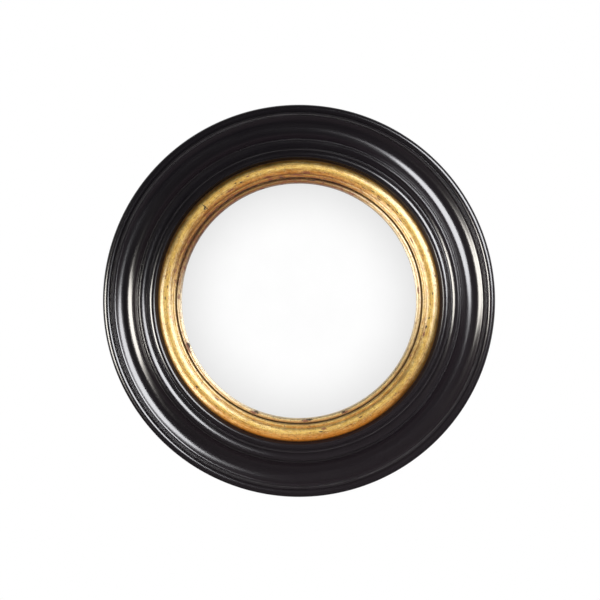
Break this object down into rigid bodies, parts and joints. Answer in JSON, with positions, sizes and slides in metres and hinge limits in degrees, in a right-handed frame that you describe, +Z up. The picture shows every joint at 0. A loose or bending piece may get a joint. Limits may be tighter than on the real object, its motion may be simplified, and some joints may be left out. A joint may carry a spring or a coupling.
{
  "type": "round wall mirror",
  "caption": "Round wall mirror: a convex glass in a gilt slip inside a deep black turned moulding, with a clamped back board and a hanging ring.",
  "frame": {"origin": "the mirror's axis where it meets the wall, on the rear face of the ring that stands the frame off the wall", "axes": "+Z up as the mirror hangs, +Y into the wall, the glass faces -Y, +X to the right as seen from the front"},
  "size_m": [0.5, 0.05, 0.5],
  "materials": {
    "black_lacquer": "hand-rubbed black lacquer over turned board, satin gloss",
    "black_stain": "matt black stain",
    "gilding": "metal leaf over red-brown bole on turned wood, rubbed and toned",
    "foam_tape": "matt closed-cell foam",
    "mirror_glass": "polished silvered glass",
    "card_packing": "rolled corrugated card",
    "hardboard": "smooth brown hardboard",
    "zinc_steel": "zinc-plated pressed steel",
    "screw_steel": "yellow passivated steel"
  },
  "bodies": {
    "frame": {"frame_ring": "black_lacquer", "rear_ring": "black_stain", "gilt_slip": "gilding", "glass_tape": "foam_tape", "mirror_glass": "mirror_glass", "packing_ring": "card_packing", "back_board": "hardboard", "turn_button_screws": "screw_steel", "hanger_strap": "zinc_steel", "hanger_screws": "screw_steel"},
    "turn_button_1": {"turn_button_1": "zinc_steel"},
    "turn_button_2": {"turn_button_2": "zinc_steel"},
    "turn_button_3": {"turn_button_3": "zinc_steel"},
    "turn_button_4": {"turn_button_4": "zinc_steel"},
    "turn_button_5": {"turn_button_5": "zinc_steel"},
    "turn_button_6": {"turn_button_6": "zinc_steel"},
    "hanger_ring": {"hanger_ring": "zinc_steel"}
  },
  "joints": [
    {"name": "turn_button_1_pivot", "type": "hinge", "parent": "frame", "child": "turn_button_1", "pos_m": [-0.097, -0.0071, 0.16801], "axis": [0, 1, 0], "continuous": true},
    {"name": "turn_button_2_pivot", "type": "hinge", "parent": "frame", "child": "turn_button_2", "pos_m": [-0.194, -0.0071, 0], "axis": [0, 1, 0], "continuous": true},
    {"name": "turn_button_3_pivot", "type": "hinge", "parent": "frame", "child": "turn_button_3", "pos_m": [-0.097, -0.0071, -0.16801], "axis": [0, 1, 0], "continuous": true},
    {"name": "turn_button_4_pivot", "type": "hinge", "parent": "frame", "child": "turn_button_4", "pos_m": [0.097, -0.0071, -0.16801], "axis": [0, 1, 0], "continuous": true},
    {"name": "turn_button_5_pivot", "type": "hinge", "parent": "frame", "child": "turn_button_5", "pos_m": [0.194, -0.0071, 0], "axis": [0, 1, 0], "continuous": true},
    {"name": "turn_button_6_pivot", "type": "hinge", "parent": "frame", "child": "turn_button_6", "pos_m": [0.097, -0.0071, 0.16801], "axis": [0, 1, 0], "continuous": true},
    {"name": "hanger_ring_swing", "type": "hinge", "parent": "frame", "child": "hanger_ring", "pos_m": [0, -0.00567, 0.2105], "axis": [-1, 0, 0], "range_deg": [0, 164]}
  ]
}
